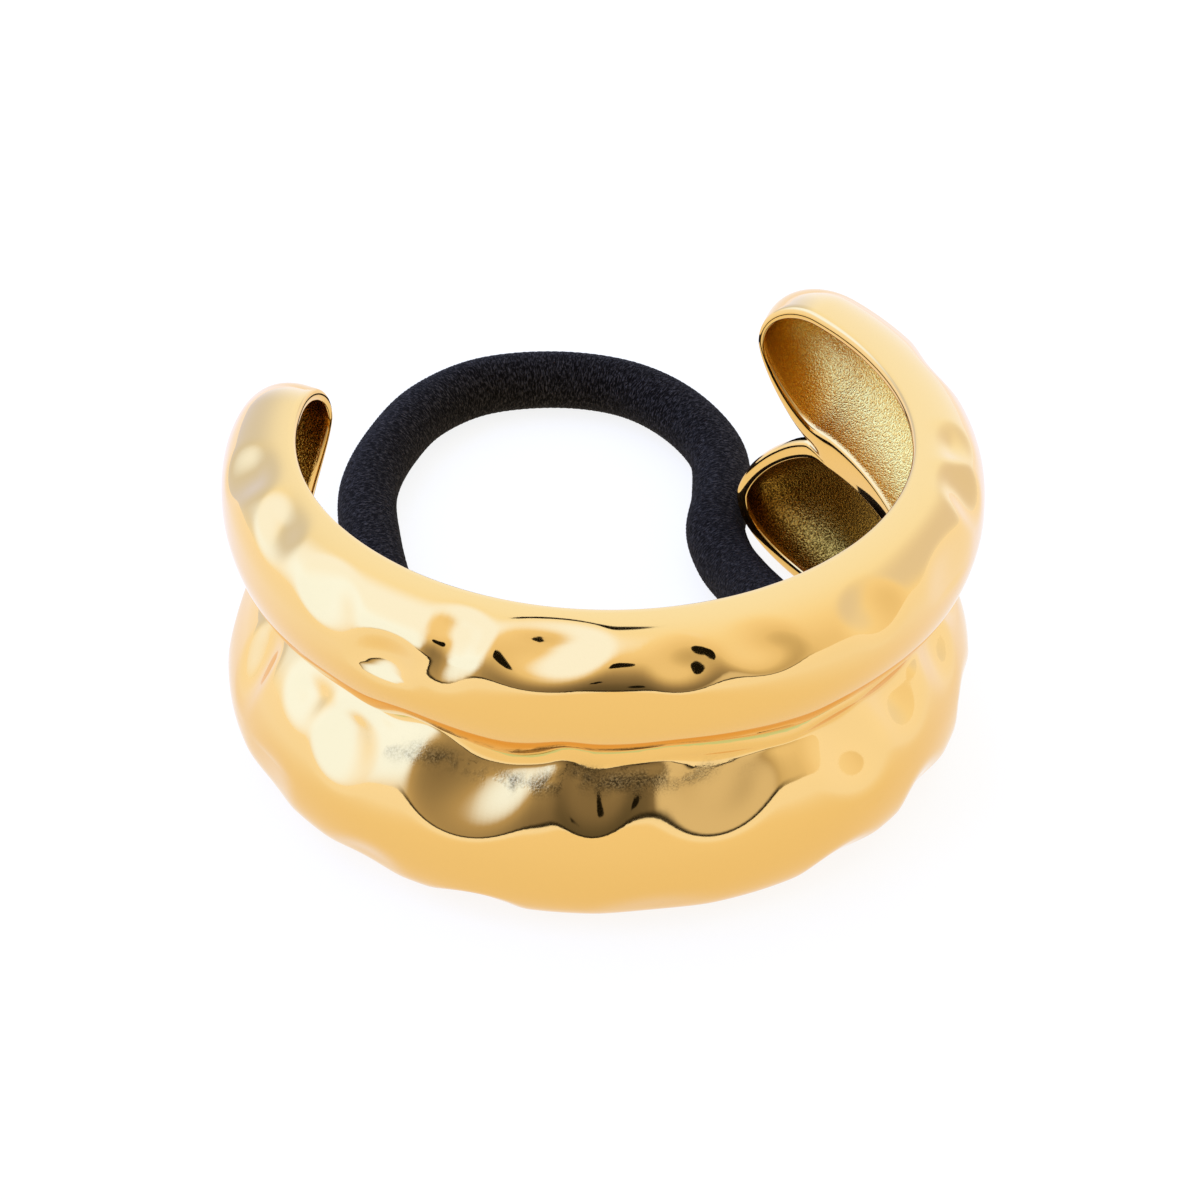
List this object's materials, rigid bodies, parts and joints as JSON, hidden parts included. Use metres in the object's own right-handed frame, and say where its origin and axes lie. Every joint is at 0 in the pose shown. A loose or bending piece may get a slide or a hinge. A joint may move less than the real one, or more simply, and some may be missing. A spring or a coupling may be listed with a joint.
{
  "type": "ponytail cuff",
  "caption": "Open hair cuff of two hammered gold-tone domes, hollow at the back, with a black covered elastic loop that holds it on a ponytail.",
  "frame": {"origin": "centre of the cuff's footprint, on the surface that it stands on; the elastic isn't counted", "axes": "+Z along the ring's axis, upwards as it rests; -Y towards the closed front; +X to the right seen from the front, along the cuff's width"},
  "size_m": [0.055, 0.0727, 0.0247],
  "materials": {
    "gold_tone_metal": "polished, with a sandy cast finish inside the pockets",
    "black_knit": "fine matt knit over rubber"
  },
  "bodies": {
    "root": {"cuff_shell": "gold_tone_metal", "elastic_loop": "black_knit"}
  },
  "joints": []
}
